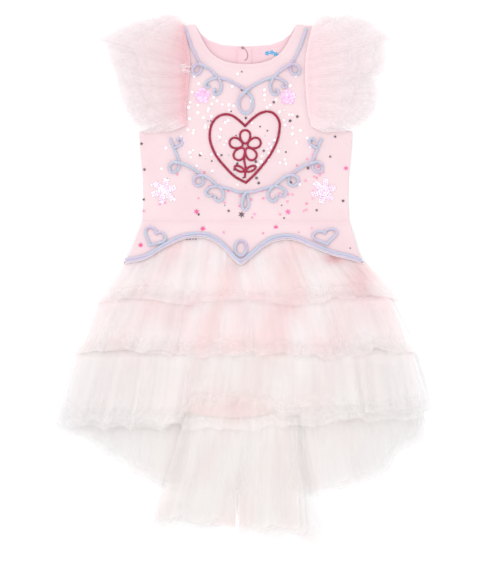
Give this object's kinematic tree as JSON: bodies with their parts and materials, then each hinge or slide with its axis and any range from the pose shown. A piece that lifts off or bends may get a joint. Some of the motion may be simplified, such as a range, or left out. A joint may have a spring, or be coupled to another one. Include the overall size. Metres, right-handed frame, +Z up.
{
  "type": "tulle dress",
  "caption": "Girl's jersey dress with tulle frill sleeves, scalloped hip yoke, cord scrolls, a beaded heart and a tiered high-low tulle skirt, laid flat on its back.",
  "frame": {"origin": "middle of the dress's outline on the surface it lies on", "axes": "X to the right of the picture, Y from hem to neck, Z up from the surface, through the front of the dress"},
  "size_m": [0.528, 0.7414, 0.0313],
  "materials": {
    "jersey": "pale pink cotton jersey, matt",
    "tulle": "soft nylon tulle, ivory to blush, sheer",
    "lining": "plain blush lining",
    "cord": "soft lavender-blue chenille cord with a faint sparkle",
    "beads": "glossy crimson seed beads"
  },
  "bodies": {
    "root": {"bodice_front": "jersey", "bodice_back_left": "jersey", "bodice_back_right": "jersey", "back_opening_strip": "jersey", "yoke_front": "jersey", "yoke_back": "jersey", "lining_front": "lining", "lining_back": "lining", "front_tier_1": "tulle", "front_tier_2": "tulle", "front_tier_3": "tulle", "back_tier_1": "tulle", "back_tier_2": "tulle", "back_tier_3": "tulle", "back_tier_4": "tulle", "back_tail": "tulle", "sleeve_left_lower_frill": "tulle", "sleeve_left_upper_frill": "tulle", "sleeve_left_back_frill": "tulle", "sleeve_right_lower_frill": "tulle", "sleeve_right_upper_frill": "tulle", "sleeve_right_back_frill": "tulle", "neck_scroll_cord": "cord", "waist_scroll_cord": "cord", "yoke_edge_cord": "cord", "hip_heart_left": "cord", "hip_heart_right": "cord", "hip_loop": "cord", "beaded_heart": "beads"}
  },
  "joints": []
}
